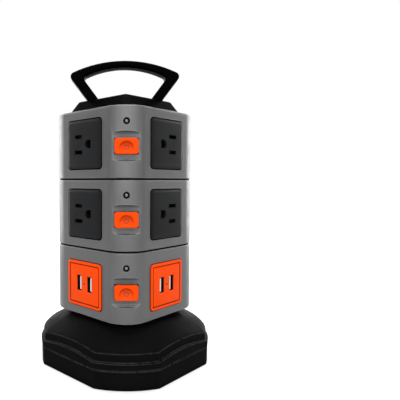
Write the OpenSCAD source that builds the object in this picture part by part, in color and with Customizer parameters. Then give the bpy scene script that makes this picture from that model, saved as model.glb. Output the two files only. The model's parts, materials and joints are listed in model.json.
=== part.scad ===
// Power strip tower: three tiers of outlets that turn on a round base, where the supply cord winds up.
// Millimetres, +Z up, origin on the floor at the centre of the base, front corner facing -Y.

/* [Tower] */
// Distance across two opposite flat faces of the tower.
across_flats = 96; // [94:1:98]
// Radius of the tower's upright corners.
corner_r = 22; // [20:1:23]
// Height of one tier.
tier_h = 57; // [55:1:62]
// Thickness of the housing walls.
wall = 2.5; // [2:0.1:2.8]
// Height of the dark gasket between two tiers.
gasket_h = 1.2; // [0.8:0.2:2]

/* [Base] */
// Radius of the base at its four rounded ends.
base_r = 75; // [74:1:80]
// Distance from the axis to the four flat sides of the base.
base_flat = 68; // [67:1:70]
// Height of the tower's underside above the floor.
tower_z = 45.5; // [45:0.5:48]

/* [Handle] */
// Depth of the carry handle from front to back.
handle_depth = 14; // [12:1:24]
// Height of the cap that carries the handle.
cap_h = 12.5; // [11:0.5:14]

/* [Outlets] */
// Width of a socket face.
socket_w = 42; // [41:0.5:44]
// Height of a socket face.
socket_h = 41.5; // [41:0.5:44]
// Spacing of the two blade slots.
blade_pitch = 12.7; // [12.7:0.1:12.8]
// Distance from the blade slots to the ground hole.
ground_pitch = 11.9; // [11.8:0.1:12]

/* [Controls] */
// Width of a push button.
button_w = 18.8; // [17:0.2:18.8]
// Height of a push button.
button_h = 12.5; // [11:0.5:13]
// How far a button goes in.
button_travel = 3; // [2:0.5:3]

/* [Supply cord] */
// Diameter of the supply cord.
cord_d = 7; // [6.5:0.1:7]

/* [Hidden] */
$fn = 64;

slip = 0.1;      // gap between parts that are fitted together
running = 0.05;  // radial gap between parts that turn on each other
cut = 1;         // how far a cutting shape reaches past the surface

// Faces by the angle they are turned from the front corner.
front_right = 45;
front_left = -45;
back_right = 135;
back_left = 225;
tiers = [0, 1, 2];

apothem = across_flats / 2;
corner_reach = (apothem - corner_r) * sqrt(2) + corner_r;
tower_top = tower_z + len(tiers) * tier_h;
floor_t = 4;
roof_t = 2.5;

// Base cover: a rim, a shoulder that follows the outline, and a gentle slope up to the seat.
foot_z = 0.4;
skirt_taper = 1;
edge_z = 20.6;
rim_in = 2.7;
rim_z = 28.1;
shoulder_w = 9;
shoulder_h = 1.9;
slope = 0.5;
flat_lift = 3.3;
seat_z = tower_z - 2;

pan_z = 2;
pan_t = 3;
pivot_r = 6;
feet = [[0, 0], [0, -62], [0, 62], [-62, 0], [62, 0]];
foot_r = 7;
foot_sink = 0.6;
pan_screws = [for (x = [-1, 1], y = [-1, 1]) [x * 63, y * 15]];
pan_screw_r = 1.5;
pan_screw_top = 16;

hub_r = 28;
hub_bore = 20;
bush_r = 30;
spool_z = 7;
spool_r = 59;
flange_t = 2;
turn_pitch = cord_d + 0.3;
coil_z = spool_z + flange_t + turn_pitch / 2;
coil_turns = 4;
coil_rows = 2;
spool_screw_spots = [for (a = [90, 210, 330]) 24 * [cos(a), sin(a)]];
spool_screw_r = 1.5;

tie_r = 50;
tie_spots = [[-tie_r, 0], [tie_r, 0], [0, tie_r]];
tie_screw_r = 1.7;
boss_r = 4;

// Top cap: a low frustum with sloping sides.
cap_half = 38;
cap_reach = 48.8;
cap_slope = 0.72;
cap_wall = 3;
cap_screw_spots = [for (x = [-1, 1], y = [-1, 1]) [x * 17, y * 17]];
cap_screw_r = 1.5;
handle_screw_spots = [for (x = [-1, 1], y = [-1, 1]) [x * 30, y * 3.6]];
handle_screw_r = 1.4;

// Handle outline: an arched bar on legs that lean outwards, measured from the top of the cap.
leg_lean = 37.5;
bar_arc = [[0, -74], 108];
bar_corner = [[44, 20.7], 4];
hole_arc = [[0, -53], 82.2];
hole_corner = [[33, 19], 3];
leg_out = 33;
leg_in = 22.2;

// Socket faces: the slots sit in front of cavities that hold the spring contacts.
socket_mid = tier_h / 2;
flange_proud = 1.4;
socket_depth = 14;
body_step = 2.1;
slot_h = 2.6;
line_slot = 7.4;
neutral_slot = 8.6;
ground_r = 3.2;
front_wall = 1.5;
contact_back = -12.6;
contact_t = 0.5;
wire_r = 1.2;
column_half = 12;
bar_z = 62;
bar_top = 206;

// USB panels: two upright ports in a raised frame.
usb_w = 42;
usb_h = 39;
usb_mid = 26.5;
port_pitch = 12.7;
port_lift = 0.5;
shell = [5.1, 12.6];
shell_t = 0.3;
tongue = [1.8, 11];
tongue_shift = 1.1;
usb_depth = 14;

// Switch recess, push button and indicator on the front corner of each tier.
button_mid = 25.3;
lamp_mid = 44.5;
recess = 2.75;
recess_floor = corner_reach - recess;
recess_half = 8.4;
recess_slope = 1.27;
pad_back = recess_floor - 2.6;
button_face = recess_floor + 3.5;
button_back = pad_back - 2.4;
lip_face = pad_back - 0.3;
stem = 6;
stem_end = 45;
case_face = button_back - button_travel - slip;
case_back = 31;
case_w = 21;
case_h = 14;
spring_seat = 33;
lamp_r = 1.6;
bezel_r = 2.25;

cord_r = cord_d / 2;
cord_exit = spool_r + 2;
plug_z = 13;
relief_y = 88;
plug_y = 98;
plug_face = 124;

// ---------- helpers ----------

// Rectangle with rounded corners, centred.
module rounded_rect(w, h, r) {
    square([w - 2 * r, h], center = true);
    square([w, h - 2 * r], center = true);
    for (x = [-1, 1], y = [-1, 1])
        translate([x * (w / 2 - r), y * (h / 2 - r)])
            circle(r = r);
}

// Outline of the tower, drawn inside its real one by the inset.
module tower_outline(inset = 0) {
    side = across_flats - 2 * inset;
    rotate(45)
        rounded_rect(side, side, corner_r - inset);
}

// Outline of the base at its foot.
module base_outline(inset) {
    intersection() {
        circle(r = base_r - skirt_taper - inset);
        rotate(45)
            square(2 * (base_flat - skirt_taper - inset), center = true);
    }
}

// Flat shape made solid between two heights.
module slab(z0, z1) {
    translate([0, 0, z0])
        linear_extrude(z1 - z0)
            children();
}

// Disc, or a ring if it has a bore, between two heights.
module disc(r, z0, z1, bore = 0) {
    slab(z0, z1)
        difference() {
            circle(r = r);
            if (bore > 0)
                circle(r = bore);
        }
}

// Box centred on its own Z axis between two heights.
module block(w, h, z0, z1) {
    slab(z0, z1)
        square([w, h], center = true);
}

// Plate with rounded corners between two heights.
module plate(w, h, r, z0, z1) {
    slab(z0, z1)
        rounded_rect(w, h, r);
}

// Puts a shape on a tower face: x along the face, y up, z out of it.
module on_face(turn, z) {
    rotate(turn)
        translate([0, -apothem, z])
            rotate([90, 0, 0])
                children();
}

// Puts a shape at the front corner: x sideways, y up, z the distance from the tower's axis.
module at_corner(z) {
    translate([0, 0, z])
        rotate([90, 0, 0])
            children();
}

// Points of an arc about a centre.
function arc(centre, r, from, to, steps = 8) =
    [for (i = [0:steps]) let (a = from + (to - from) * i / steps) centre + r * [cos(a), sin(a)]];

// A right-hand outline joined to its mirror image.
function both_sides(p) = concat(p, [for (i = [len(p) - 1:-1:0]) [-p[i][0], p[i][1]]]);

function tier_z(tier) = tower_z + tier * tier_h;

// Side of a socket's centre line that the ground hole is on: towards the front or the back corner.
function ground_side(turn) = turn == front_right || turn == back_left ? -1 : 1;

// Every socket as [tier, face]; the front faces of the lowest tier hold the USB ports instead.
sockets = [
    for (tier = tiers, turn = [front_right, front_left, back_right, back_left])
        if (tier > 0 || turn > front_right)
            [tier, turn]
];

// Puts a shape on one socket place, turned half round where the ground hole is on the other side.
module at_socket(tier, turn) {
    on_face(turn, tier_z(tier) + socket_mid)
        rotate(ground_side(turn) > 0 ? 0 : 180)
            children();
}

// Puts a shape on every socket place.
module at_sockets() {
    for (s = sockets)
        at_socket(s[0], s[1])
            children();
}

// Puts a shape on a USB place, turned so that +x points to the front corner.
module at_usb_panel(turn) {
    on_face(turn, tower_z + usb_mid)
        rotate(turn == front_left ? 0 : 180)
            children();
}

// Puts a shape on the four USB ports.
module at_usb_ports() {
    for (turn = [front_right, front_left], x = [-1, 1])
        on_face(turn, tower_z + usb_mid + port_lift)
            translate([x * port_pitch / 2, 0, 0])
                rotate(turn == front_left ? 0 : 180)
                    children();
}

// ---------- base ----------

// Right-hand outline of the cover from the skirt's foot to the seat, moved in by the wall if wanted.
function cover_outline(reach, lift, inset) =
    let (rim = reach - rim_in - inset, top = rim_z + lift - inset)
    concat(
        [[reach - skirt_taper - inset, foot_z - inset], [reach - inset, edge_z + lift - inset]],
        [for (t = [0:15:90])
            let (back = shoulder_w * (1 - cos(t)))
            [rim - back, top + slope * back + shoulder_h * sin(t)]],
        [[rim - (seat_z - rim_z - lift - shoulder_h) / slope, seat_z - inset]]
    );

// The cover's outline carried straight along one pair of flat sides.
module cover_ridge(turn, inset) {
    rotate([90, 0, turn])
        linear_extrude(4 * base_r, center = true)
            polygon(both_sides(cover_outline(base_flat, flat_lift, inset)));
}

// Solid of the cover, or of the space inside it.
module cover_solid(inset = 0) {
    intersection() {
        rotate_extrude()
            polygon(concat(
                [[0, foot_z - inset]],
                cover_outline(base_r, 0, inset),
                [[0, seat_z - inset]]
            ));
        cover_ridge(45, inset);
        cover_ridge(135, inset);
    }
}

module base_cover() {
    color("#232426")
        difference() {
            union() {
                difference() {
                    cover_solid();
                    cover_solid(wall);
                }
                intersection() {
                    cover_solid(wall / 2);
                    for (p = pan_screws)
                        translate(p)
                            disc(boss_r, pan_z + pan_t, seat_z, pan_screw_r + running);
                }
            }
            disc(bush_r, 0, tower_z);
            translate([0, base_r, plug_z])
                rotate([90, 0, 0])
                    cylinder(r = cord_r + 2.5, h = 4 * wall, center = true);
        }
}

module base_pan() {
    color("#1d1e20")
        difference() {
            union() {
                slab(pan_z, pan_z + pan_t)
                    base_outline(wall + slip);
                disc(pivot_r, pan_z, spool_z + 1.8);
            }
            for (p = feet)
                translate(p)
                    disc(foot_r + slip, 0, pan_z + foot_sink);
            for (p = pan_screws)
                translate(p) {
                    disc(pan_screw_r + slip, 0, pan_z + pan_t + cut);
                    disc(2 * pan_screw_r + slip, 0, pan_z + 1.8);
                }
        }
}

module base_feet() {
    color("#3a3b3c")
        for (p = feet)
            translate(p)
                disc(foot_r, 0, pan_z + foot_sink);
}

module base_screws() {
    color("#9a9ca0")
        for (p = pan_screws)
            translate(p) {
                disc(2 * pan_screw_r, pan_z, pan_z + 1.8);
                disc(pan_screw_r, pan_z, pan_screw_top);
            }
}

// Shape of revolution along +Y at the height of the supply cord.
module along_cord(y) {
    translate([0, y, plug_z])
        rotate([-90, 0, 0])
            children();
}

module cord_grommet() {
    color("#2b2b2c")
        difference() {
            along_cord(base_r - 5) {
                cylinder(r = cord_r + 2.45, h = 5);
                translate([0, 0, 5])
                    cylinder(r = cord_r + 4.5, h = 2);
            }
            along_cord(base_r - 6)
                cylinder(r = cord_r + running, h = 9);
        }
}

module swivel_bush() {
    color("#c9c9c2") {
        disc(bush_r - running, seat_z - 6, seat_z, hub_r + running);
        disc(bush_r + 10, seat_z, tower_z, hub_r + running);
    }
}

module supply_cord() {
    color("#1c1c1d")
        along_cord(cord_exit)
            cylinder(r = cord_r, h = relief_y - cord_exit);
}

module supply_plug() {
    color("#1f1f20") {
        along_cord(relief_y)
            cylinder(r1 = cord_r + 1, r2 = cord_r + 4, h = plug_y - relief_y);
        along_cord(plug_y)
            plate(27, 24, 4, 0, plug_face - plug_y);
    }
}

module plug_blades() {
    color("#c8c9cb")
        for (x = [-1, 1])
            along_cord(plug_face)
                translate([x * blade_pitch / 2, -4, 0])
                    block(1.5, 6.3, 0, 17);
}

module plug_ground_pin() {
    color("#c8c9cb")
        along_cord(plug_face)
            translate([0, ground_pitch - 4, 0])
                disc(2.4, 0, 20);
}

// ---------- cord winder and swivel ----------

module cord_spool() {
    color("#d8d6cf")
        difference() {
            union() {
                disc(hub_r, spool_z, tower_z);
                disc(spool_r, spool_z, spool_z + flange_t);
                disc(spool_r, coil_z + 1.5 * turn_pitch, coil_z + 1.5 * turn_pitch + flange_t);
            }
            disc(hub_bore, spool_z + flange_t, tower_z + cut);
            disc(pivot_r + running, 0, spool_z + flange_t + cut);
            translate([0, 0, coil_z])
                rotate([0, 90, 0])
                    cylinder(r = cord_r + 0.3, h = hub_r + cut);
            for (p = spool_screw_spots)
                translate(p)
                    disc(spool_screw_r + running, tower_z - 10, tower_z + cut);
        }
}

module cord_coil() {
    color("#1c1c1d") {
        for (row = [0:coil_rows - 1], turn = [0:coil_turns - 1])
            translate([0, 0, coil_z + row * turn_pitch])
                rotate_extrude()
                    translate([hub_r + turn_pitch * (turn + 0.5), 0])
                        circle(r = cord_r);
        translate([0, 0, coil_z]) {
            sphere(r = cord_r);
            cylinder(r = cord_r, h = bar_z - 3 - coil_z);
            rotate([0, 90, 0])
                cylinder(r = cord_r, h = hub_r + turn_pitch / 2);
        }
    }
}

module spool_screws() {
    color("#9a9ca0")
        for (p = spool_screw_spots)
            translate(p) {
                disc(spool_screw_r, tower_z - 9, tower_z + floor_t);
                disc(2 * spool_screw_r, tower_z + floor_t, tower_z + floor_t + 2);
            }
}

// ---------- tower structure ----------

module tower_floor() {
    color("#2a2b2d")
        difference() {
            slab(tower_z, tower_z + floor_t)
                tower_outline(wall + slip);
            disc(cord_r + 0.5, 0, tower_z + floor_t + cut);
            for (p = spool_screw_spots)
                translate(p)
                    disc(spool_screw_r + slip, 0, tower_z + floor_t + cut);
            for (p = tie_spots)
                translate(p) {
                    disc(tie_screw_r + slip, 0, tower_z + floor_t + cut);
                    disc(2 * tie_screw_r + slip, 0, tower_z + 2.2);
                }
        }
}

// Box reaching from one distance from the axis to another at the front corner.
module corner_box(w, h, from, to, z) {
    at_corner(z)
        block(w, h, from, to);
}

// Flat-floored recess with sloping upper and lower sides.
module recess_cut(z) {
    depth = recess + 1;
    outer = recess_half + recess_slope * depth;
    translate([0, 0, z])
        rotate([90, 0, 90])
            linear_extrude(across_flats / 2, center = true)
                polygon([
                    [-recess_floor, -recess_half],
                    [-recess_floor, recess_half],
                    [-recess_floor - depth, outer],
                    [-recess_floor - depth, -outer]
                ]);
}

// Column for a tie screw, joined to the housing's wall behind it.
module tie_bosses(z0, z1) {
    intersection() {
        slab(z0, z1)
            tower_outline(wall / 2);
        union() {
            for (p = tie_spots)
                translate(p)
                    disc(boss_r, z0, z1);
            for (turn = [90, 180, 270])
                rotate(turn)
                    translate([-1.5, -corner_reach, z0])
                        cube([3, corner_reach - tie_r, z1 - z0]);
        }
    }
}

// Pad behind the switch recess and two cheeks that hold the switch.
module switch_mount(z) {
    intersection() {
        slab(z - case_h, z + case_h)
            tower_outline(wall / 2);
        union() {
            corner_box(24, 2 * recess_half + 6, pad_back, corner_reach, z);
            for (x = [-1, 1])
                translate([x * (case_w / 2 + slip + 0.9), 0, 0])
                    corner_box(1.8, case_h - 2, 41, corner_reach, z);
        }
    }
}

// One tier's housing with its openings.
module housing(tier, bottom_gap, top_gap) {
    base = tier_z(tier);
    z0 = base + bottom_gap;
    z1 = base + tier_h - top_gap;
    button_z = base + button_mid;
    difference() {
        union() {
            slab(z0, z1)
                difference() {
                    tower_outline();
                    tower_outline(wall);
                }
            tie_bosses(tier == 0 ? z0 + floor_t : z0, z1);
            switch_mount(button_z);
            if (top_gap == 0)
                slab(z1 - roof_t, z1)
                    tower_outline(wall / 2);
        }
        recess_cut(button_z);
        corner_box(button_w + 4 * slip, button_h + 4 * slip, pad_back - cut, corner_reach + cut, button_z);
        at_corner(base + lamp_mid)
            disc(bezel_r + running, tie_r, corner_reach + cut);
        for (s = sockets)
            if (s[0] == tier)
                at_socket(s[0], s[1])
                    block(socket_w - 4 + 2 * slip, socket_h - 4 + 2 * slip, -2 * wall, cut);
        if (tier == 0)
            for (turn = [front_right, front_left])
                at_usb_panel(turn)
                    block(usb_w - 5 + 2 * slip, usb_h - 5 + 2 * slip, -2 * wall, cut);
        for (p = tie_spots)
            translate(p)
                disc(tie_screw_r + running, base - cut, min(z1, tower_top - 5));
        if (top_gap == 0)
            for (p = cap_screw_spots)
                translate(p)
                    disc(cap_screw_r + slip, z1 - roof_t - cut, z1 + cut);
    }
}

module lower_housing() {
    color("#8d8e90")
        housing(0, 0, gasket_h / 2);
}

module middle_housing() {
    color("#8d8e90")
        housing(1, gasket_h / 2, gasket_h / 2);
}

module upper_housing() {
    color("#8d8e90")
        housing(2, gasket_h / 2, 0);
}

// Gasket under a tier, set back a little so that it shows as a dark joint line.
module gasket(tier) {
    color("#26272a")
        slab(tier_z(tier) - gasket_h / 2, tier_z(tier) + gasket_h / 2)
            difference() {
                tower_outline(0.8);
                tower_outline(wall);
            }
}

module lower_gasket() {
    gasket(1);
}

module upper_gasket() {
    gasket(2);
}

module tie_screws() {
    color("#9a9ca0")
        for (p = tie_spots)
            translate(p) {
                disc(2 * tie_screw_r, tower_z, tower_z + 2.2);
                disc(tie_screw_r, tower_z, tower_top - 6);
            }
}

// ---------- cap and handle ----------

// Trapezoid of the cap's sloping sides.
module cap_ridge(turn, half, height) {
    rotate([90, 0, turn])
        linear_extrude(4 * cap_reach, center = true)
            polygon([
                [-half, 0],
                [half, 0],
                [half - cap_slope * height, height],
                [cap_slope * height - half, height]
            ]);
}

// Solid of the cap, or of the space inside it.
module cap_solid(inset, height) {
    translate([0, 0, tower_top])
        intersection() {
            cylinder(r1 = cap_reach - inset, r2 = cap_reach - inset - cap_slope * height, h = height);
            cap_ridge(45, cap_half - inset, height);
            cap_ridge(135, cap_half - inset, height);
        }
}

module top_cap() {
    color("#1b1c1e")
        difference() {
            union() {
                difference() {
                    cap_solid(0, cap_h);
                    cap_solid(cap_wall, cap_h - cap_wall);
                }
                for (p = cap_screw_spots)
                    translate(p)
                        disc(boss_r - 0.5, tower_top, tower_top + cap_h - cap_wall);
            }
            for (p = cap_screw_spots)
                translate(p)
                    disc(cap_screw_r + running, tower_top - cut, tower_top + 8);
            for (p = handle_screw_spots)
                translate(p)
                    disc(handle_screw_r + slip, tower_top, tower_top + cap_h + cut);
        }
}

module cap_screws() {
    color("#9a9ca0")
        for (p = cap_screw_spots)
            translate(p) {
                disc(2 * cap_screw_r, tower_top - roof_t - 2, tower_top - roof_t);
                disc(cap_screw_r, tower_top - roof_t, tower_top + 7);
            }
}

module carry_handle() {
    bar_turn = atan2(bar_corner[0][1] - bar_arc[0][1], bar_corner[0][0]);
    hole_turn = atan2(hole_corner[0][1] - hole_arc[0][1], hole_corner[0][0]);
    outer = concat(
        arc(bar_arc[0], bar_arc[1], 89, bar_turn),
        arc(bar_corner[0], bar_corner[1], bar_turn, -leg_lean),
        [[leg_out, 0]]
    );
    inner = concat(
        arc(hole_arc[0], hole_arc[1], 89, hole_turn),
        arc(hole_corner[0], hole_corner[1], hole_turn, -leg_lean),
        [[leg_in - tan(leg_lean), -cut]]
    );
    color("#1b1c1e")
        difference() {
            translate([0, 0, tower_top + cap_h])
                rotate([90, 0, 0])
                    linear_extrude(handle_depth, center = true)
                        difference() {
                            polygon(both_sides(outer));
                            polygon(both_sides(inner));
                        }
            for (p = handle_screw_spots)
                translate(p)
                    disc(handle_screw_r + running, tower_top, tower_top + cap_h + 6.5);
        }
}

module handle_screws() {
    color("#9a9ca0")
        for (p = handle_screw_spots)
            translate(p) {
                disc(2 * handle_screw_r, tower_top + cap_h - cap_wall - 2, tower_top + cap_h - cap_wall);
                disc(handle_screw_r, tower_top + cap_h - cap_wall, tower_top + cap_h + 6);
            }
}

// ---------- sockets ----------

// Cuts for one blade: the slot in the face and the cavity behind it.
module blade_space(y, slot) {
    translate([-ground_pitch / 2, y, 0]) {
        block(slot, slot_h, -front_wall - cut, flange_proud + cut);
        block(9.4, 4.8, -socket_depth + 1, -front_wall);
        disc(wire_r + slip, -socket_depth - cut, -socket_depth + 2);
    }
}

// Cuts for the ground pin: a round hole with one flat side.
module ground_space() {
    translate([ground_pitch / 2, 0, 0]) {
        slab(-front_wall - cut, flange_proud + cut)
            union() {
                circle(r = ground_r);
                translate([0, -ground_r])
                    square([ground_r, 2 * ground_r]);
            }
        disc(ground_r + 0.6, -socket_depth + 1, -front_wall);
        disc(wire_r + slip, -socket_depth - cut, -socket_depth + 2);
    }
}

module socket(tier, turn) {
    color("#2c2d2f")
        at_socket(tier, turn)
            difference() {
                union() {
                    plate(socket_w, socket_h, 3, 0, flange_proud);
                    block(socket_w - 4, socket_h - 4, -socket_depth, 0);
                }
                plate(socket_w - 2 * body_step, socket_h - 2 * body_step, 1.5, flange_proud - 0.4, 3);
                blade_space(blade_pitch / 2, line_slot);
                blade_space(-blade_pitch / 2, neutral_slot);
                ground_space();
            }
}

// Folded spring contact for a blade: two leaves joined at the back.
module blade_contacts(y) {
    color("#c9a24a")
        at_sockets()
            translate([-ground_pitch / 2, y, 0]) {
                for (side = [-1, 1])
                    translate([0, side * 1.25, 0])
                        block(7, contact_t, contact_back, -3);
                block(7, 2.5 + contact_t, contact_back, contact_back + contact_t);
            }
}

module line_contacts() {
    blade_contacts(blade_pitch / 2);
}

module neutral_contacts() {
    blade_contacts(-blade_pitch / 2);
}

module ground_contacts() {
    color("#c9a24a")
        at_sockets()
            translate([ground_pitch / 2, 0, 0]) {
                disc(3, contact_back, -3, 3 - contact_t);
                disc(3, contact_back, contact_back + contact_t);
            }
}

// ---------- wiring ----------

// Straight wires from the back of the contacts to the column in the middle.
module wires(spot, shade) {
    color(shade)
        at_sockets()
            translate(spot)
                disc(wire_r, column_half - apothem, contact_back);
}

module line_wires() {
    wires([-ground_pitch / 2, blade_pitch / 2, 0], "#1a1a1a");
}

module neutral_wires() {
    wires([-ground_pitch / 2, -blade_pitch / 2, 0], "#e8e8e4");
}

module ground_wires() {
    wires([ground_pitch / 2, 0, 0], "#2f7d3a");
}

module bus_column() {
    color("#dcdad2")
        difference() {
            rotate(45)
                block(2 * column_half, 2 * column_half, tower_z + floor_t, tower_top - roof_t - slip);
            disc(cord_r + slip, 0, bar_z - 2);
            rotate(45)
                for (y = [-6, 0, 6])
                    translate([0, y, 0])
                        block(10 + 2 * slip, 1.6 + 2 * slip, bar_z, tower_top);
        }
}

module bus_bars() {
    color("#c9a24a")
        rotate(45)
            for (y = [-6, 0, 6])
                translate([0, y, 0])
                    block(10, 1.6, bar_z, bar_top);
}

// ---------- USB ports ----------

module usb_panel(turn) {
    color("#ff5a10")
        difference() {
            at_usb_panel(turn)
                difference() {
                    union() {
                        plate(usb_w, usb_h, 3.5, 0, 1);
                        block(usb_w - 5, usb_h - 5, -8, 0);
                    }
                    slab(0.5, 2)
                        difference() {
                            rounded_rect(usb_w - 5.6, usb_h - 5.6, 2);
                            rounded_rect(usb_w - 6.6, usb_h - 6.6, 1.5);
                        }
                }
            at_usb_ports()
                block(shell[0] + 2 * slip, shell[1] + 2 * slip, -9, 2);
            on_face(turn, tower_z + usb_mid + port_lift)
                disc(0.8 + running, -9, 2);
        }
}

module usb_shells() {
    color("#b9bbbe")
        at_usb_ports()
            difference() {
                block(shell[0], shell[1], -usb_depth, 0.6);
                block(shell[0] - 2 * shell_t, shell[1] - 2 * shell_t, -usb_depth - cut, 2);
            }
}

module usb_tongues() {
    color("#f1efe9")
        at_usb_ports()
            translate([tongue_shift, 0, 0])
                block(tongue[0], tongue[1], -usb_depth, -0.8);
}

module usb_boards() {
    color("#1f6b3a")
        for (turn = [front_right, front_left])
            on_face(turn, tower_z + usb_mid + port_lift)
                block(34, 30, -usb_depth - 1.6, -usb_depth);
}

module usb_indicators() {
    color("#5a2a18")
        for (turn = [front_right, front_left])
            on_face(turn, tower_z + usb_mid + port_lift)
                disc(0.8, -usb_depth, 0.8);
}

// ---------- switches ----------

module button(tier) {
    color("#ff5a10")
        at_corner(tier_z(tier) + button_mid)
            difference() {
                union() {
                    plate(button_w, button_h, 1.8, button_back, button_face - 0.7);
                    plate(button_w - 1.2, button_h - 1.2, 1.4, button_back, button_face);
                    block(button_w + 1.8, button_h + 1.8, button_back, lip_face);
                    block(stem, stem, stem_end, button_back);
                }
                translate([0, 0, button_face + 19.2])
                    sphere(r = 20);
            }
}

module upper_button() {
    button(2);
}

module middle_button() {
    button(1);
}

module lower_button() {
    button(0);
}

module switch_case(tier) {
    color("#303134")
        at_corner(tier_z(tier) + button_mid)
            difference() {
                block(case_w, case_h, case_back, case_face);
                block(stem + 0.5, stem + 0.5, spring_seat, case_face + cut);
            }
}

module upper_switch() {
    switch_case(2);
}

module middle_switch() {
    switch_case(1);
}

module lower_switch() {
    switch_case(0);
}

// Coil spring that pushes the button's stem back out.
module spring(tier) {
    length = stem_end - spring_seat;
    turns = 5;
    color("#b9bbbe")
        at_corner(tier_z(tier) + button_mid)
            translate([0, 0, spring_seat])
                linear_extrude(length, twist = -360 * turns, slices = 10 * turns, $fn = 6)
                    translate([2, 0])
                        circle(r = 0.4, $fn = 6);
}

module upper_spring() {
    spring(2);
}

module middle_spring() {
    spring(1);
}

module lower_spring() {
    spring(0);
}

module indicator_lamps() {
    color("#e9f2f4")
        for (tier = tiers)
            at_corner(tier_z(tier) + lamp_mid) {
                disc(lamp_r, tie_r, corner_reach - 0.6);
                translate([0, 0, corner_reach - 1.4])
                    sphere(r = lamp_r);
            }
}

module indicator_bezels() {
    color("#3b3c3f")
        for (tier = tiers)
            at_corner(tier_z(tier) + lamp_mid)
                disc(bezel_r, corner_reach - 5, corner_reach + 0.4, lamp_r + running);
}

base_cover();
base_pan();
base_feet();
base_screws();
cord_grommet();
swivel_bush();
supply_cord();
supply_plug();
plug_blades();
plug_ground_pin();
cord_spool();
cord_coil();
spool_screws();
tower_floor();
lower_housing();
middle_housing();
upper_housing();
lower_gasket();
upper_gasket();
top_cap();
carry_handle();
handle_screws();
cap_screws();
tie_screws();
socket(2, front_right);  // upper_socket_front_right
socket(2, front_left);  // upper_socket_front_left
socket(2, back_right);  // upper_socket_back_right
socket(2, back_left);  // upper_socket_back_left
socket(1, front_right);  // middle_socket_front_right
socket(1, front_left);  // middle_socket_front_left
socket(1, back_right);  // middle_socket_back_right
socket(1, back_left);  // middle_socket_back_left
socket(0, back_right);  // lower_socket_back_right
socket(0, back_left);  // lower_socket_back_left
line_contacts();
neutral_contacts();
ground_contacts();
line_wires();
neutral_wires();
ground_wires();
bus_column();
bus_bars();
usb_panel(front_right);  // usb_panel_right
usb_panel(front_left);  // usb_panel_left
usb_shells();
usb_tongues();
usb_boards();
usb_indicators();
upper_button();
middle_button();
lower_button();
upper_switch();
middle_switch();
lower_switch();
upper_spring();
middle_spring();
lower_spring();
indicator_lamps();
indicator_bezels();
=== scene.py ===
"""Power strip tower: three tiers of sockets that turn on a round base, with an arched carry handle.

Shapes are written in millimetres and turned into metres when a mesh is made.
"""

import json
import math

import bmesh
import bpy
from mathutils import Matrix, Vector


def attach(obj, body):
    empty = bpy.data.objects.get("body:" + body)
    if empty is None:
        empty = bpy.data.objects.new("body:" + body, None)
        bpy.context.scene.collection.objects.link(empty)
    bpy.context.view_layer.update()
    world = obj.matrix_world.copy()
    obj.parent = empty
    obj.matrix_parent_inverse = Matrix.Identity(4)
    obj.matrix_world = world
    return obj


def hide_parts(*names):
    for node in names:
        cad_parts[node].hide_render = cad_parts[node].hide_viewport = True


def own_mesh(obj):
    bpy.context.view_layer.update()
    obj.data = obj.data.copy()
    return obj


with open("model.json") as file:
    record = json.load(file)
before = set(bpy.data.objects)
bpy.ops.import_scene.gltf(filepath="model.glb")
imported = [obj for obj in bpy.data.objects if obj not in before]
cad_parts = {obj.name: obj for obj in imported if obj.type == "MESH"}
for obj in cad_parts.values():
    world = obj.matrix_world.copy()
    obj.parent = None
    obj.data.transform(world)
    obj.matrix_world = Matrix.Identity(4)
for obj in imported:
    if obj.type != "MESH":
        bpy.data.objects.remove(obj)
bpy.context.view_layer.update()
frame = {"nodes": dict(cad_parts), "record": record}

MM = 0.001

# Tower
APOTHEM = 48.0
CORNER_R = 22.0
REACH = (APOTHEM - CORNER_R) * math.sqrt(2) + CORNER_R
TOWER_Z = 45.5
TIER_H = 57.0
TOP_Z = TOWER_Z + 3 * TIER_H
WALL = 2.5
GAP = 0.6
TIERS = ["lower", "middle", "upper"]
FACES = {"front_right": 45, "front_left": -45, "back_right": 135, "back_left": 225}

# Sockets and USB panels
SOCKET_W = 42.0
SOCKET_H = 41.5
BLADE_PITCH = 12.7
GROUND_PITCH = 11.9
USB_W = 42.0
USB_H = 39.0
USB_MID = 26.5
PORT_LIFT = 0.5
PORT_X = 6.35
PANEL_GAP = 0.2
OPENING_R = 3.4
SOCKET_TRIM = 1.8
USB_TRIM = 1.0

# Switch corner
BUTTON_MID = 25.3
LAMP_MID = 44.5
BUTTON_W = 18.8
BUTTON_H = 12.5
RECESS_FLOOR = REACH - 3.0
STEM_END = 45.0
SPRING_SEAT = 33.0
BUTTON_FACE = REACH + 0.75

# Base
BASE_R = 75.0
BASE_FLAT = 68.0
SEAT_Z = TOWER_Z - 2
CORD_Z = 13.0


# ---------- shapes: (vertices, faces) in millimetres ----------

def loft(rings, closed=False):
    """Skin over rings of equal length, each a list of points; capped at both ends unless closed."""
    n = len(rings[0])
    verts = [p for ring in rings for p in ring]
    spans = len(rings) if closed else len(rings) - 1
    faces = []
    for i in range(spans):
        a, b = i * n, (i + 1) % len(rings) * n
        for j in range(n):
            k = (j + 1) % n
            faces.append((a + j, a + k, b + k, b + j))
    if not closed:
        faces.append(tuple(reversed(range(n))))
        faces.append(tuple(range((len(rings) - 1) * n, len(rings) * n)))
    return verts, faces


def joined(*shapes):
    """Several shapes as one."""
    verts, faces = [], []
    for v, f in shapes:
        start = len(verts)
        verts += v
        faces += [tuple(i + start for i in face) for face in f]
    return verts, faces


def moved(shape, matrix):
    """A shape carried by a matrix."""
    return [tuple(matrix @ Vector(v)) for v in shape[0]], shape[1]


def arc(cx, cy, r, start, end, steps):
    """Points of an arc, angles in degrees."""
    turns = [math.radians(start + (end - start) * i / steps) for i in range(steps + 1)]
    return [(cx + r * math.cos(t), cy + r * math.sin(t)) for t in turns]


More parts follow.
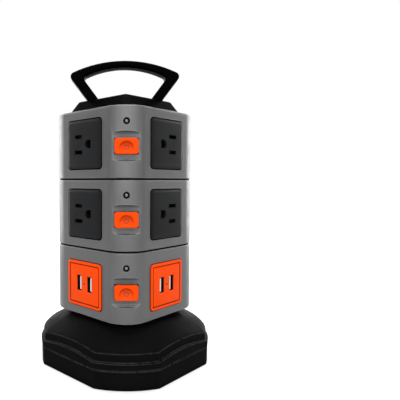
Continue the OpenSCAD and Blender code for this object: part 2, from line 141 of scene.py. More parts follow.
def rounded_rect(w, h, r, steps=6):
    """Outline of a rectangle with rounded corners, counter-clockwise."""
    r = max(r, 0.05)
    out = []
    for sx, sy, start in ((1, 1, 0), (-1, 1, 90), (-1, -1, 180), (1, -1, 270)):
        out += arc(sx * (w / 2 - r), sy * (h / 2 - r), r, start, start + 90, steps)
    return out


def evened(outline, count):
    """The outline walked round in equal steps, starting from its first point."""
    corners = outline + outline[:1]
    lengths = [math.dist(a, b) for a, b in zip(corners, corners[1:])]
    step = sum(lengths) / count
    out = []
    side, start = 0, 0.0
    for i in range(count):
        while side < len(lengths) - 1 and start + lengths[side] < i * step:
            start += lengths[side]
            side += 1
        part = (i * step - start) / lengths[side]
        out.append(tuple(a + (b - a) * part for a, b in zip(corners[side], corners[side + 1])))
    return out


def plate(w, h, r, profile, steps=6):
    """Rounded plate whose edge follows a profile of (inset, height) steps."""
    rings = []
    for inset, z in profile:
        outline = rounded_rect(w - 2 * inset, h - 2 * inset, r - inset, steps)
        rings.append([(x, y, z) for x, y in outline])
    return loft(rings)


def turned(profile, steps=48, closed=False):
    """Shape of revolution about Z from (radius, height) points."""
    rings = []
    for r, z in profile:
        angles = [2 * math.pi * i / steps for i in range(steps)]
        rings.append([(r * math.cos(a), r * math.sin(a), z) for a in angles])
    return loft(rings, closed)


def block(w, h, z0, z1):
    """Box centred on its own Z axis."""
    return plate(w, h, 0.05, [(0, z0), (0, z1)], steps=1)


# ---------- places ----------

def on_face(turn, z):
    """Frame on a tower face: x along the face, y up, z out of it."""
    return (
        Matrix.Rotation(math.radians(turn), 4, "Z")
        @ Matrix.Translation((0, -APOTHEM, z))
        @ Matrix.Rotation(math.pi / 2, 4, "X")
    )


def at_corner(z):
    """Frame on the front corner: x sideways, y up, z the distance from the tower's axis."""
    return Matrix.Translation((0, 0, z)) @ Matrix.Rotation(math.pi / 2, 4, "X")


def along_cord(y):
    """Frame for shapes of revolution along the supply cord, pointing back."""
    return Matrix.Translation((0, y, CORD_Z)) @ Matrix.Rotation(-math.pi / 2, 4, "X")


def half_turn(matrix, wanted):
    """The same place, turned half round its own Z axis if wanted."""
    return matrix @ Matrix.Rotation(math.pi, 4, "Z") if wanted else matrix


def tier_z(tier):
    """Height of a tier's underside."""
    return TOWER_Z + tier * TIER_H


# ---------- objects ----------

def mesh_of(name, shape, sharp=35):
    """Mesh in metres, smooth except at edges sharper than the angle."""
    mesh = bpy.data.meshes.new(name)
    mesh.from_pydata([tuple(c * MM for c in v) for v in shape[0]], [], shape[1])
    mesh.update()
    finish_mesh(mesh, sharp)
    return mesh


def finish_mesh(mesh, sharp):
    """Turns every face outwards and sets the shading."""
    bm = bmesh.new()
    bm.from_mesh(mesh)
    bmesh.ops.recalc_face_normals(bm, faces=bm.faces)
    bm.to_mesh(mesh)
    bm.free()
    mesh.shade_smooth()
    mesh.set_sharp_from_angle(angle=math.radians(sharp))


def carved(name, mesh, *cutters, sharp=35):
    """The mesh with each cutter shape taken out of it in turn."""
    host = bpy.data.objects.new(name, mesh)
    bpy.context.scene.collection.objects.link(host)
    tools = []
    for i, shape in enumerate(cutters):
        tool = bpy.data.objects.new(f"{name}_cutter_{i}", mesh_of(f"{name}_cutter_{i}", shape))
        bpy.context.scene.collection.objects.link(tool)
        tools.append(tool)
        cut = host.modifiers.new(f"cut_{i}", "BOOLEAN")
        cut.operation = "DIFFERENCE"
        cut.solver = "EXACT"
        cut.object = tool
    bpy.context.view_layer.update()
    seen = host.evaluated_get(bpy.context.evaluated_depsgraph_get())
    result = bpy.data.meshes.new_from_object(seen)
    result.name = name
    for o in [host] + tools:
        bpy.data.objects.remove(o)
    finish_mesh(result, sharp)
    return result


def piece(name, mesh, material, body, replaces=(), place=None):
    """Object that rides on a body of the frame and stands for CAD nodes."""
    o = bpy.data.objects.new(name, mesh)
    bpy.context.scene.collection.objects.link(o)
    if place is not None:
        scaled = place.copy()
        scaled.translation *= MM
        o.matrix_world = scaled
    if not o.data.materials:
        o.data.materials.append(material)
    bpy.context.view_layer.update()
    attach(o, body)
    if replaces:
        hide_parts(*replaces)
    return o


def weighted(o):
    """Keeps large flat faces flat next to curved ones."""
    normals = o.modifiers.new("normals", "WEIGHTED_NORMAL")
    normals.keep_sharp = True
    normals.weight = 100
    return o


# ---------- materials ----------

# Noise scales per metre, and reaches in metres
MOTTLE_SCALE = 45
WEAR_AND_HIGHLIGHT_SCALE = 260
ROUGHNESS_SCALE = 130
GRAIN_SCALE = 900
GRAIN_HEIGHT = 0.00006
EDGE_REACH = 0.001
# Reach of the painted shade in hollows
SHADE_REACH = 0.005


def surface(name, colour, rough, metallic=0.0, grain=0.02, mottle=0.08, wear_and_highlight=0.25, worn_and_lit=None,
            coat=0.0, specular=0.5, hollow_shade=0.6):
    """Procedural finish: mottled colour, painted shade in hollows, edges lightened partly as wear and
    partly as a painted highlight, uneven roughness and fine grain.
    """
    material = bpy.data.materials.new(name)
    material.use_nodes = True
    tree = material.node_tree
    nodes, link = tree.nodes, tree.links.new
    shader = nodes["Principled BSDF"]
    shader.inputs["Metallic"].default_value = metallic
    shader.inputs["Coat Weight"].default_value = coat
    shader.inputs["Coat Roughness"].default_value = 0.12
    shader.inputs["Specular IOR Level"].default_value = specular
    place = nodes.new("ShaderNodeTexCoord")

    def noise_at(scale, detail):
        n = nodes.new("ShaderNodeTexNoise")
        n.inputs["Scale"].default_value = scale
        n.inputs["Detail"].default_value = detail
        link(place.outputs["Object"], n.inputs["Vector"])
        return n.outputs["Fac"]

    def ranged(value, low, high, start=0.3, end=0.7):
        m = nodes.new("ShaderNodeMapRange")
        m.inputs["From Min"].default_value = start
        m.inputs["From Max"].default_value = end
        m.inputs["To Min"].default_value = low
        m.inputs["To Max"].default_value = high
        link(value, m.inputs["Value"])
        return m.outputs["Result"]

    def mixed(factor, a, b):
        m = nodes.new("ShaderNodeMix")
        m.data_type = "RGBA"
        link(factor, m.inputs["Factor"])
        for socket, value in (("A", a), ("B", b)):
            target = next(i for i in m.inputs if i.name == socket and i.type == "RGBA")
            if isinstance(value, tuple):
                target.default_value = (*value, 1)
            else:
                link(value, target)
        return next(s for s in m.outputs if s.type == "RGBA")

    low = tuple(c * (1 - mottle) for c in colour)
    high = tuple(min(1, c * (1 + mottle)) for c in colour)
    body = mixed(ranged(noise_at(MOTTLE_SCALE, 3), 0, 1), low, high)
    # Lighter edges from the bevel mask: partly wear, partly a painted highlight along rounded edges.
    softened = nodes.new("ShaderNodeBevel")
    softened.samples = 2
    softened.inputs["Radius"].default_value = EDGE_REACH
    turn = nodes.new("ShaderNodeVectorMath")
    turn.operation = "DOT_PRODUCT"
    link(softened.outputs["Normal"], turn.inputs[0])
    link(nodes.new("ShaderNodeNewGeometry").outputs["Normal"], turn.inputs[1])
    edge_wear_and_highlight = nodes.new("ShaderNodeMath")
    edge_wear_and_highlight.operation = "MULTIPLY"
    link(ranged(turn.outputs["Value"], wear_and_highlight, 0, 0.93, 0.995), edge_wear_and_highlight.inputs[0])
    link(ranged(noise_at(WEAR_AND_HIGHLIGHT_SCALE, 4), 0, 1, 0.28, 0.5), edge_wear_and_highlight.inputs[1])
    worn_and_lit = worn_and_lit or tuple(min(1, c * 1.6 + 0.03) for c in colour)
    # Painted shade: ambient occlusion darkens the colour in hollows, seams, recesses and scoops, where
    # shade falls.
    shade_occlusion = nodes.new("ShaderNodeAmbientOcclusion")
    shade_occlusion.samples = 4
    shade_occlusion.inputs["Distance"].default_value = SHADE_REACH
    deep = ranged(shade_occlusion.outputs["AO"], hollow_shade, 0, 0.4, 0.98)
    dark = tuple(c * 0.15 for c in colour)
    shaded = mixed(deep, mixed(edge_wear_and_highlight.outputs["Value"], body, worn_and_lit), dark)
    link(shaded, shader.inputs["Base Color"])
    uneven = ranged(noise_at(ROUGHNESS_SCALE, 5), rough * 0.85, min(1, rough * 1.18))
    link(uneven, shader.inputs["Roughness"])
    bump = nodes.new("ShaderNodeBump")
    bump.inputs["Strength"].default_value = grain * 10
    bump.inputs["Distance"].default_value = GRAIN_HEIGHT
    link(noise_at(GRAIN_SCALE, 2), bump.inputs["Height"])
    link(bump.outputs["Normal"], shader.inputs["Normal"])
    return material


# Each finish's edge setting paints lighter edges, partly wear and partly a painted highlight; its hollow
# setting paints shade into seams, recesses and scoops.
FINISHES = {
    "black_plastic": surface("black_plastic", (0.0045, 0.0046, 0.005), 0.4, specular=0.008, wear_and_highlight=0.6,
                             worn_and_lit=(0.12, 0.12, 0.125)),
    "jet_plastic": surface("jet_plastic", (0.0006, 0.0006, 0.0008), 0.34, specular=0.008, wear_and_highlight=0.02),
    "grey_plastic": surface("grey_plastic", (0.132, 0.132, 0.134), 0.36, 0.4, mottle=0.03, wear_and_highlight=0.6,
                            worn_and_lit=(0.4, 0.4, 0.4), hollow_shade=0.95),
    "orange_plastic": surface("orange_plastic", (0.9, 0.066, 0.001), 0.36, mottle=0.04, wear_and_highlight=0.1,
                              specular=0.06, hollow_shade=0.95),
    "socket_black": surface("socket_black", (0.0105, 0.011, 0.012), 0.42, grain=0.03, wear_and_highlight=0.1,
                            specular=0.08, hollow_shade=0.9),
    "switch_black": surface("switch_black", (0.03, 0.03, 0.034), 0.5),
    "dark_gasket": surface("dark_gasket", (0.003, 0.003, 0.003), 0.6, wear_and_highlight=0.0, specular=0.04),
    "black_rubber": surface("black_rubber", (0.02, 0.02, 0.02), 0.75, grain=0.05, specular=0.3),
    "cord_jacket": surface("cord_jacket", (0.014, 0.014, 0.015), 0.45, grain=0.03),
    "white_plastic": surface("white_plastic", (0.85, 0.84, 0.8), 0.4, mottle=0.03),
    "zinc_steel": surface("zinc_steel", (0.55, 0.55, 0.57), 0.35, 1.0),
    "nickel_steel": surface("nickel_steel", (0.05, 0.05, 0.05), 0.4, 1.0),
    "nickel_brass": surface("nickel_brass", (0.7, 0.68, 0.62), 0.24, 1.0),
    "contact_brass": surface("contact_brass", (0.08, 0.055, 0.02), 0.4, 1.0),
    "wire_black": surface("wire_black", (0.02, 0.02, 0.02), 0.4),
    "wire_white": surface("wire_white", (0.8, 0.8, 0.78), 0.4),
    "wire_green": surface("wire_green", (0.04, 0.3, 0.08), 0.4),
    "green_board": surface("green_board", (0.02, 0.16, 0.05), 0.3, mottle=0.2),
    "dark_lens": surface("dark_lens", (0.05, 0.012, 0.004), 0.15, wear_and_highlight=0.0),
    "clear_lens": surface("clear_lens", (0.2, 0.17, 0.165), 0.1, wear_and_highlight=0.0, coat=1.0, hollow_shade=0.0),
}


# ---------- base ----------

SLOPE = 0.5
FLAT_RISE = 0.42
RIM_IN = 2.9
RIM_Z = 28.2
SHOULDER_W = 9.0
SHOULDER_H = 1.9
SHELL = 2.5


def cut_round(round_r, flat_r, fillet=0.6, flat_steps=12, arc_steps=20):
    """Outline (x, y) of a circle cut by four flats that face the corners, one quarter after another."""
    corner = min(math.degrees(math.acos(min(1.0, flat_r / round_r))), 44.6)
    near = min(fillet, (45 - corner) / 2)
    half = [corner - near, corner + near]
    offs = [half[0] * (2 * i / flat_steps - 1) for i in range(flat_steps + 1)] + [corner]
    offs += [half[1] + (90 - 2 * half[1]) * i / arc_steps for i in range(arc_steps + 1)] + [90 - corner]
    outline = []
    for quarter in range(4):
        for off in offs:
            from_flat = math.radians(min(off, 90 - off) if off > 0 else off)
            r = min(round_r, flat_r / math.cos(from_flat))
            turn = math.radians(45 + 90 * quarter + off)
            outline.append((r * math.cos(turn), r * math.sin(turn)))
    return outline


def base_ring(inset, z):
    """Ring round the base; above the groove it rises where the flats bring it closer to the axis."""
    lift = FLAT_RISE * min(1.0, max(0.0, (z - 16) / 4))
    ring = []
    for x, y in cut_round(BASE_R - inset, BASE_FLAT - inset):
        closer = BASE_R - inset - math.hypot(x, y)
        ring.append((x, y, min(z + lift * closer, SEAT_Z)))
    return ring


def base_cover():
    """Closed shell: skirt, groove, band, set-back rim and dome, open in the middle for the swivel."""
    steps = [(4.0, 0.3), (1.0, 0.3), (0.75, 0.6), (0.4, 14.7), (0.55, 15.0), (1.1, 15.1), (1.1, 15.6),
             (0.5, 15.75), (0.25, 16.1), (0.0, 20.4), (0.12, 20.85), (0.5, 21.1), (1.5, 21.2),
             (1.8, 21.4), (1.95, 21.9), (2.15, 27.4), (2.3, 27.9), (2.6, 28.15)]
    outer = [base_ring(inset, z) for inset, z in steps]
    for t in range(8, 91, 8):
        back = SHOULDER_W * (1 - math.cos(math.radians(t)))
        rise = SLOPE * back + SHOULDER_H * math.sin(math.radians(t))
        outer.append(base_ring(RIM_IN + back, RIM_Z + rise))
    for back in (11, 14, 18, 22, 26):
        outer.append(base_ring(RIM_IN + back, RIM_Z + SLOPE * back + SHOULDER_H))
    outer.append([(x * 0.71, y * 0.71, SEAT_Z) for x, y, _ in outer[-1]])
    inner = [(x, y, SEAT_Z - SHELL) for x, y, _ in outer[-1]]
    under = [base_ring(RIM_IN + SHELL + back, RIM_Z + SLOPE * back - SHELL) for back in (22, 12, 3)]
    return loft(outer + [inner] + under + [base_ring(4.0, 20.0)], closed=True)


cord_hole = moved(turned([(6.0, 60), (6.0, 90)]), along_cord(0))
base_mesh = carved("base_cover_shape", mesh_of("base_blank", base_cover()), cord_hole, sharp=40)
base_shell = piece("base_shell", base_mesh, FINISHES["black_plastic"], "base",
                   ["base_cover"])
weighted(base_shell)


# ---------- housings ----------

def tower_ring(inset, z, flatten=False, steps=14):
    """Ring round the tower; the inner one is flattened behind the switches."""
    side = 2 * (APOTHEM - inset)
    turn = Matrix.Rotation(math.pi / 4, 4, "Z")
    ring = [turn @ Vector((x, y, z)) for x, y in rounded_rect(side, side, CORNER_R - inset, steps)]
    if flatten:
        ring = [Vector((p.x, max(p.y, 2.6 - RECESS_FLOOR), p.z)) for p in ring]
    return [tuple(p) for p in ring]


def recess(z):
    """Cutter with a flat floor whose upper and lower sides curve out to steep lips."""
    side = [(0, 9.0), (0.12, 9.7), (0.5, 10.4), (1.1, 11.0), (1.8, 11.4), (2.6, 11.7), (4.0, 12.1)]
    corners = [(RECESS_FLOOR + depth, half) for depth, half in side]
    corners += [(r, -h) for r, h in reversed(corners)]
    return loft([[(x, -r, z + h) for r, h in corners] for x in (-16, 16)])


def ground_side(turn):
    """Whether a socket is turned half round on this face."""
    return turn in (45, 225)


def has_usb(tier, face):
    """The front faces of the lowest tier hold the USB panels."""
    return tier == 0 and face.startswith("front")


def housing(tier):
    """One tier's shell with its recess and openings."""
    base = tier_z(tier)
    z0 = base + (GAP if tier else 0)
    z1 = base + TIER_H - (GAP if tier < 2 else 0)
    outer = [(0.7, z0), (0.25, z0 + 0.25), (0, z0 + 0.8)]
    if tier < 2:
        outer += [(0, z1 - 1.1), (0.18, z1 - 0.5), (0.55, z1 - 0.15), (1.0, z1)]
    else:
        outer += [(0, z1 - 1.9), (0.2, z1 - 1.1), (0.7, z1 - 0.4), (1.6, z1)]
    if tier < 2:
        rings = [tower_ring(i, z) for i, z in outer]
        rings += [tower_ring(WALL, z, True) for z in (z1, z0)]
        shape = loft(rings, closed=True)
    else:
        rings = [tower_ring(WALL, z, True) for z in (z1 - WALL, z0)]
        rings += [tower_ring(i, z) for i, z in outer]
        shape = loft(rings)
    openings = [moved(block(BUTTON_W + 0.5, BUTTON_H + 0.5, 50, 60), at_corner(base + BUTTON_MID)),
                moved(turned([(2.35, 50), (2.35, REACH - 0.7), (3.1, REACH + 0.1), (3.1, 61)], 32),
                      at_corner(base + LAMP_MID))]
    for face, turn in FACES.items():
        usb = has_usb(tier, face)
        w, h, mid = (USB_W, USB_H, USB_MID) if usb else (SOCKET_W, SOCKET_H, TIER_H / 2)
        opening = plate(w + PANEL_GAP, h + PANEL_GAP, OPENING_R, [(0, -9), (0, 2)])
        openings.append(moved(opening, on_face(turn, base + mid)))
    return carved(f"{TIERS[tier]}_housing_shape", mesh_of("housing_blank", shape),
                  recess(base + BUTTON_MID), joined(*openings), sharp=30)


for tier, level in enumerate(TIERS):
    shell = piece(f"{level}_shell", housing(tier), FINISHES["grey_plastic"], "tower",
                  [f"{level}_housing"])
    weighted(shell)


# ---------- sockets ----------

def socket_mesh():
    """Socket insert: sloping border, flange behind the wall, two slots and a ground hole over chambers."""
    profile = [(2.0, -14), (2.0, -4), (-1.2, -4), (-1.2, -2.9), (0, -2.9), (0, 0.25), (0.12, 0.5),
               (0.35, 0.62), (1.75, 1.28), (2.0, 1.38), (2.25, 1.4)]
    solid = plate(SOCKET_W - SOCKET_TRIM, SOCKET_H - SOCKET_TRIM, 2.6, profile)
    slots, chambers = [], []
    x_blade, x_ground = -GROUND_PITCH / 2, GROUND_PITCH / 2
    for y, length in ((BLADE_PITCH / 2, 8.4), (-BLADE_PITCH / 2, 9.2)):
        shift = Matrix.Translation((x_blade, y, 0))
        lead_in = plate(length + 0.5, 3.4, 0.3, [(0.3, 0.9), (0, 1.5), (0, 2)], 2)
        slots.append(moved(block(length, 2.8, -2, 0.95), shift))
        slots.append(moved(lead_in, shift))
        chambers.append(moved(block(9.4, 4.8, -13, -1.5), shift))
    outline = arc(0, 0, 3.5, 90, 270, 16) + [(3.2, -3.5), (3.2, 3.5)]
    hole = loft([[(x, y, z) for x, y in outline] for z in (-2, 3)])
    slots.append(moved(hole, Matrix.Translation((x_ground, 0, 0))))
    chambers.append(moved(turned([(3.8, -13), (3.8, -1.5)], 24), Matrix.Translation((x_ground, 0, 0))))
    return carved("socket_shape", mesh_of("socket_blank", solid), *slots, joined(*chambers), sharp=25)


socket_shape = socket_mesh()
for tier, level in enumerate(TIERS):
    for face, turn in FACES.items():
        if not has_usb(tier, face):
            place = half_turn(on_face(turn, tier_z(tier) + TIER_H / 2), ground_side(turn))
            piece(f"{level}_insert_{face}", socket_shape, FINISHES["socket_black"], "tower",
                  [f"{level}_socket_{face}"], place)


# ---------- USB panels ----------

def usb_mesh():
    """Panel with a flange, a raised frame, a fine groove, two port openings and an indicator hole."""
    profile = [(2.6, -8), (2.6, -4), (-1.0, -4), (-1.0, -2.9), (0, -2.9), (0, 0.5), (0.12, 0.8),
               (0.45, 0.98), (2.2, 1.02), (2.4, 0.92), (2.45, 0.5), (2.45, -0.1), (3.15, -0.1),
               (3.15, 0.5), (3.2, 0.75), (3.45, 0.82)]
    solid = plate(USB_W - USB_TRIM, USB_H - USB_TRIM, 3.2, profile)
    ports = [moved(plate(5.3, 12.9, 0.4, [(0, -9), (0, 0.45), (-0.45, 0.85), (-0.45, 2)], 2),
                   Matrix.Translation((x, PORT_LIFT, 0))) for x in (-PORT_X, PORT_X)]
    pin = moved(turned([(0.9, -9), (0.9, 2)], 20), Matrix.Translation((0, PORT_LIFT, 0)))
    return carved("usb_panel_shape", mesh_of("usb_blank", solid), joined(*ports, pin), sharp=25)


def port_shells():
    """Thin pressed shells of one panel's two ports."""
    walls = [(0, -8), (0, 0.2), (0.3, 0.2), (0.3, -8)]
    shells = []
    for x in (-PORT_X, PORT_X):
        rings = []
        for inset, z in walls:
            outline = rounded_rect(5.1 - 2 * inset, 12.7 - 2 * inset, 0.5, 3)
            rings.append([(x + u, PORT_LIFT + v, z) for u, v in outline])
        shells.append(loft(rings, closed=True))
    return joined(*shells)


def port_tongues(side):
    """Contact tongues of one panel's two ports, on the side towards the front corner."""
    tongue = plate(2.2, 11.4, 0.3, [(0, -7.5), (0, -0.7), (0.2, -0.4)], 2)
    return joined(*[moved(tongue, Matrix.Translation((x + 1.0 * side, PORT_LIFT, 0)))
                    for x in (-PORT_X, PORT_X)])


usb_shape = usb_mesh()
shells_shape = mesh_of("port_shells_shape", port_shells())
for side, turn, inward in (("right", 45, -1), ("left", -45, 1)):
    place = on_face(turn, TOWER_Z + USB_MID)
    first = side == "right"
    piece(f"usb_plate_{side}", usb_shape, FINISHES["orange_plastic"], "tower",
          [f"usb_panel_{side}"], place)
    piece(f"usb_port_shells_{side}", shells_shape, FINISHES["nickel_steel"], "tower",
          ["usb_shells"] if first else (), place)
    piece(f"usb_port_tongues_{side}", mesh_of(f"port_tongues_{side}", port_tongues(inward)),
          FINISHES["white_plastic"], "tower", ["usb_tongues"] if first else (), place)


# ---------- buttons and indicators ----------

SCOOP_R = 6.3
SCOOP_MID = -1.9
SCOOP_DEPTH = 2.2
SCOOP_WALL = 2.0
RAMP_START = -5.0
RAMP_LENGTH = 7.0


def scoop(x, y):
    """Depth of the finger scoop: a gentle ramp up to a steep arched wall."""
    inside = SCOOP_R - math.hypot(x, y - SCOOP_MID)
    wall = min(1.0, max(0.0, inside / SCOOP_WALL))
    ramp = min(1.0, max(0.0, (y - RAMP_START) / RAMP_LENGTH))
    return SCOOP_DEPTH * wall * wall * (3 - 2 * wall) * ramp


def button_mesh():
    """Push button with rounded edges and a finger scoop in its face."""
    rings = []
    for inset, z in [(0, -8), (0, -1.1), (0.12, -0.6), (0.42, -0.22), (0.85, 0)]:
        corner = rounded_rect(BUTTON_W - 2 * inset, BUTTON_H - 2 * inset, 2.3 - inset, 12)
        rings.append([(x, y, z) for x, y in evened(corner, 120)])
    rim = rings[-1]
    for i in range(23, 0, -1):
        rings.append([(x * i / 24, y * i / 24, -scoop(x * i / 24, y * i / 24)) for x, y, _ in rim])
    return mesh_of("button_shape", loft(rings), 40)


def power_mark():
    """Plain power symbol, a broken ring with a bar, standing slightly proud of the scoop."""
    def bar(path, width):
        rings = []
        for x, y, nx, ny in path:
            a = (x - nx * width / 2, y - ny * width / 2)
            b = (x + nx * width / 2, y + ny * width / 2)
            rings.append([(*a, -scoop(*a) - 0.2), (*b, -scoop(*b) - 0.2),
                          (*b, -scoop(*b) + 0.12), (*a, -scoop(*a) + 0.12)])
        return loft(rings)
    turns = [math.radians(120 + 300 * i / 24) for i in range(25)]
    ring = [(1.7 * math.cos(t), 1.7 * math.sin(t) - 0.8, math.cos(t), math.sin(t)) for t in turns]
    stem = [(0, -0.9 + i * 0.4, 1, 0) for i in range(6)]
    return joined(bar(ring, 0.42), bar(stem, 0.42))


def spring(coil_r=2.0, wire_r=0.4, turns=5, steps=20):
    """Coil spring along Z, from its seat on the switch to the end of the button's stem."""
    start, end = SPRING_SEAT + wire_r, STEM_END - wire_r
    rings = []
    for i in range(turns * steps + 1):
        turn = Matrix.Rotation(2 * math.pi * i / steps, 4, "Z")
        z = start + (end - start) * i / (turns * steps)
        wire = arc(coil_r, 0, wire_r, 0, 315, 7)
        rings.append([tuple(turn @ Vector((x, 0, z + dz))) for x, dz in wire])
    return loft(rings)


button_shape = button_mesh()
spring_mesh = mesh_of("spring_shape", spring(), 60)
mark_shape = mesh_of("power_mark_shape", power_mark())
mark_finish = surface("mark_orange", (0.3, 0.016, 0.001), 0.4, wear_and_highlight=0.0)
bezel_profile = [(1.45, -5), (2.3, -5), (2.3, -0.5), (2.2, -0.2), (2.0, -0.1), (1.75, -0.25),
                 (1.45, -0.9)]
bezel_shape = mesh_of("bezel_shape", turned(bezel_profile, 40, closed=True))
lens_profile = [(1.4, -6), (1.4, -1.1)] + arc(0, -1.6, 1.5, 20, 84, 6)
lens_shape = mesh_of("lens_shape", turned(lens_profile, 32))

for tier, level in enumerate(TIERS):
    place = at_corner(tier_z(tier) + BUTTON_MID) @ Matrix.Translation((0, 0, BUTTON_FACE))
    button = piece(f"{level}_push_button", button_shape, FINISHES["orange_plastic"], f"{level}_button",
                   [f"{level}_button"], place)
    button.visible_diffuse = False
    button.visible_glossy = False
    piece(f"{level}_power_mark", mark_shape, mark_finish, f"{level}_button", (), place)
    spring_place = at_corner(tier_z(tier) + BUTTON_MID)
    coil = piece(f"{level}_coil", spring_mesh, FINISHES["nickel_steel"], "tower",
                 [f"{level}_spring"], spring_place)
    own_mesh(coil)
    lamp_place = at_corner(tier_z(tier) + LAMP_MID) @ Matrix.Translation((0, 0, REACH))
    first = tier == 0
    piece(f"{level}_bezel", bezel_shape, FINISHES["dark_gasket"], "tower",
          ["indicator_bezels"] if first else (), lamp_place)
    piece(f"{level}_lens", lens_shape, FINISHES["clear_lens"], "tower",
          ["indicator_lamps"] if first else (), lamp_place)


# ---------- cap and handle ----------

CAP_REACH = 48.8
CAP_FLAT = 38.0
CAP_H = 12.5
HANDLE_DEPTH = 14.0
LEG_LEAN = 37.5


def cap_shape():
    """Low cap with sloping sides, cut corners and a rounded upper edge."""
    steps = [(5.0, 0.0), (0.4, 0.0), (0.0, 0.3), (0.25, 0.9), (7.0, 10.2), (7.6, 11.0), (8.5, 11.8),
             (9.8, 12.3), (11.5, 12.5), (20.0, 12.55), (30.0, 12.6)]
    rings = []
    for inset, z in steps:
        outline = cut_round(CAP_REACH - inset, CAP_FLAT - inset, 1.5, 8, 6)
        depth = 1 - 0.08 * z / CAP_H
        rings.append([(x, y * depth, TOP_Z + z) for x, y in outline])
    return loft(rings)


def handle_edge(foot_x, corner, corner_r, crown, leg_steps=8):
    """Right half of one edge of the handle above the cap; the crown's arc is centred on the axis."""
    crown_r = math.dist(corner, (0, crown)) + corner_r
    end = math.degrees(math.atan2(corner[1] - crown, corner[0]))
    bend = arc(corner[0], corner[1], corner_r, -LEG_LEAN, end, 10)
    foot = (foot_x - math.tan(math.radians(LEG_LEAN)), -1.0)
    leg = []
    for i in range(leg_steps):
        leg.append(tuple(a + (b - a) * i / leg_steps for a, b in zip(foot, bend[0])))
    return leg + bend + arc(0, crown, crown_r, end, 90, 16)[1:]


def handle_shape():
    """Arched bar on legs that lean outwards, with well-rounded edges."""
    outer = handle_edge(33, (44, 21.2), 4, -73.4)
    inner = handle_edge(22.2, (32.5, 18.8), 3, -51)
    pairs = list(zip(outer, inner))
    pairs += [((-a[0], a[1]), (-b[0], b[1])) for a, b in reversed(pairs[:-1])]
    rings = []
    for out, within in pairs:
        thick = math.dist(out, within)
        across = [(a - b) / thick for a, b in zip(out, within)]
        middle = [(a + b) / 2 for a, b in zip(out, within)]
        section = rounded_rect(thick, HANDLE_DEPTH, min(2.6, thick * 0.42), 6)
        rings.append([(middle[0] + across[0] * u, v, TOP_Z + CAP_H + middle[1] + across[1] * u)
                      for u, v in section])
    return loft(rings)


piece("cap_shell", mesh_of("cap_shape", cap_shape(), 50), FINISHES["jet_plastic"], "tower",
      ["top_cap"])
piece("handle_bar", mesh_of("handle_shape", handle_shape(), 50), FINISHES["jet_plastic"], "tower",
      ["carry_handle"])


# ---------- supply cord and plug ----------

def plug_body():
    """Moulded plug: ribbed strain relief, waisted grip and a flat face."""
    relief = [(3.7, 88)]
    for i in range(6):
        y, r = 89 + i * 1.6, 4.6 + i * 0.45
        relief += [(r, y), (r, y + 0.9), (r - 0.8, y + 1.1), (r - 0.8, y + 1.5)]
    relief = moved(turned([(r, y) for r, y in relief], 32), along_cord(0))
    profile = [(6.5, 97.5), (4.0, 98.2), (1.8, 99.4), (0.7, 101.2), (0.9, 106), (1.7, 110), (1.5, 115),
               (0.5, 118.5), (0.0, 120), (0.0, 123), (0.4, 123.7), (1.0, 124)]
    body = moved(plate(27, 24, 7.5, profile, 8), along_cord(0))
    return joined(relief, body)


def plug_blades():
    """The two flat blades, before their holes are cut."""
    shapes = []
    for x in (-1, 1):
        outline = [(-3.1, 0), (3.1, 0), (3.1, 15), (2.0, 17), (-2.0, 17), (-3.1, 15)]
        blade = loft([[(x * BLADE_PITCH / 2 + t, -4 + a, 124 + b) for a, b in outline]
                      for t in (-0.75, 0.75)])
        shapes.append(moved(blade, along_cord(0)))
    return shapes


cord = turned([(3.5, 61), (3.5, 88.5)], 32)
piece("cord_tail", mesh_of("cord_tail_shape", moved(cord, along_cord(0))), FINISHES["cord_jacket"], "base",
      ["supply_cord"])
piece("plug_moulding", mesh_of("plug_shape", plug_body(), 40), FINISHES["cord_jacket"], "base",
      ["supply_plug"])
blade_hole = moved(turned([(1.5, -20), (1.5, 20)], 24),
                   Matrix.Translation((0, 136, CORD_Z + 4)) @ Matrix.Rotation(math.pi / 2, 4, "Y"))
blades = carved("plug_blades_shape", mesh_of("blades_blank", joined(*plug_blades())), blade_hole)
piece("plug_prongs", blades, FINISHES["nickel_brass"], "base", ["plug_blades"])
pin = turned([(2.4, 124), (2.4, 141.5), (2.2, 142.8), (1.6, 143.7), (0.7, 144)], 28)
pin = moved(pin, Matrix.Translation((0, 0, 4 - GROUND_PITCH)) @ along_cord(0))
piece("plug_ground_prong", mesh_of("ground_prong_shape", pin), FINISHES["nickel_brass"], "base",
      ["plug_ground_pin"])


# ---------- CAD nodes shown as they are ----------

slots = {p["node"]: p["material_slot"] for p in frame["record"]["subparts"]}
for name, node in frame["nodes"].items():
    if not node.hide_render:
        node.data.materials.clear()
        node.data.materials.append(FINISHES[slots[name]])


# ---------- stage ----------

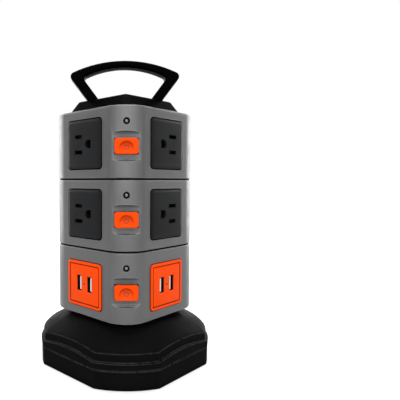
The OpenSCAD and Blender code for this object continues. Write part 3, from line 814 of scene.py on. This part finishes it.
def world_light():
    """White surroundings, bright in front and behind and dimmer to the sides."""
    world = bpy.data.worlds.new("studio")
    world.use_nodes = True
    tree = world.node_tree
    nodes, link = tree.nodes, tree.links.new
    back = nodes["Background"]
    where = nodes.new("ShaderNodeTexCoord")
    split = nodes.new("ShaderNodeSeparateXYZ")
    link(where.outputs["Generated"], split.inputs["Vector"])
    depth = nodes.new("ShaderNodeMath")
    depth.operation = "POWER"
    depth.inputs[1].default_value = 2
    link(split.outputs["Y"], depth.inputs[0])
    level = nodes.new("ShaderNodeMapRange")
    level.inputs["To Min"].default_value = 0.15
    level.inputs["To Max"].default_value = 2.7
    link(depth.outputs["Value"], level.inputs["Value"])
    seen = nodes.new("ShaderNodeLightPath")
    pick = nodes.new("ShaderNodeMix")
    link(seen.outputs["Is Camera Ray"], pick.inputs["Factor"])
    link(level.outputs["Result"], pick.inputs["A"])
    pick.inputs["B"].default_value = 1.0
    link(pick.outputs["Result"], back.inputs["Strength"])
    back.inputs["Color"].default_value = (1, 1, 1, 1)
    bpy.context.scene.world = world


def softbox(name, at, aim, size, power):
    """Rectangular area light pointed at a spot."""
    light = bpy.data.lights.new(name, "AREA")
    light.shape = "RECTANGLE"
    light.size, light.size_y = size
    light.energy = power
    o = bpy.data.objects.new(name, light)
    o.location = at
    o.rotation_euler = (Vector(aim) - Vector(at)).to_track_quat("-Z", "Y").to_euler()
    bpy.context.scene.collection.objects.link(o)


def stage():
    """Floor, lights and camera."""
    floor = bpy.data.objects.new("floor", mesh_of("floor", block(6000, 6000, -20, 0)))
    # The floor's finish keeps the default painted shade, so it is darker near the parts that stand on it.
    paper = surface("floor_paper", (0.6, 0.6, 0.6), 0.7, mottle=0.01, wear_and_highlight=0.0)
    shader = paper.node_tree.nodes["Principled BSDF"]
    shader.inputs["Emission Color"].default_value = (1, 1, 1, 1)
    seen = paper.node_tree.nodes.new("ShaderNodeLightPath")
    glow = paper.node_tree.nodes.new("ShaderNodeMath")
    glow.operation = "MULTIPLY"
    glow.inputs[1].default_value = 0.6
    paper.node_tree.links.new(seen.outputs["Is Camera Ray"], glow.inputs[0])
    paper.node_tree.links.new(glow.outputs["Value"], shader.inputs["Emission Strength"])
    floor.data.materials.append(paper)
    bpy.context.scene.collection.objects.link(floor)
    world_light()
    softbox("top_light", (0.0, -0.1, 0.95), (0, 0, 0.1), (0.6, 0.6), 5)
    softbox("left_light", (-0.75, 0.5, 0.3), (0, 0, 0.13), (0.5, 0.9), 5.5)
    softbox("right_light", (0.75, 0.5, 0.3), (0, 0, 0.13), (0.5, 0.9), 5.5)
    camera = bpy.data.objects.new("camera", bpy.data.cameras.new("camera"))
    camera.location = (-0.010, -0.392, 0.157)
    camera.rotation_euler = (math.radians(90 - 2.66), 0, 0)
    camera.data.lens = 39.0
    camera.data.shift_x = 0.2162
    camera.data.shift_y = 0.006
    camera.data.clip_start = 0.01
    bpy.context.scene.collection.objects.link(camera)
    bpy.context.scene.camera = camera
    bpy.context.scene.view_settings.view_transform = "Standard"


stage()
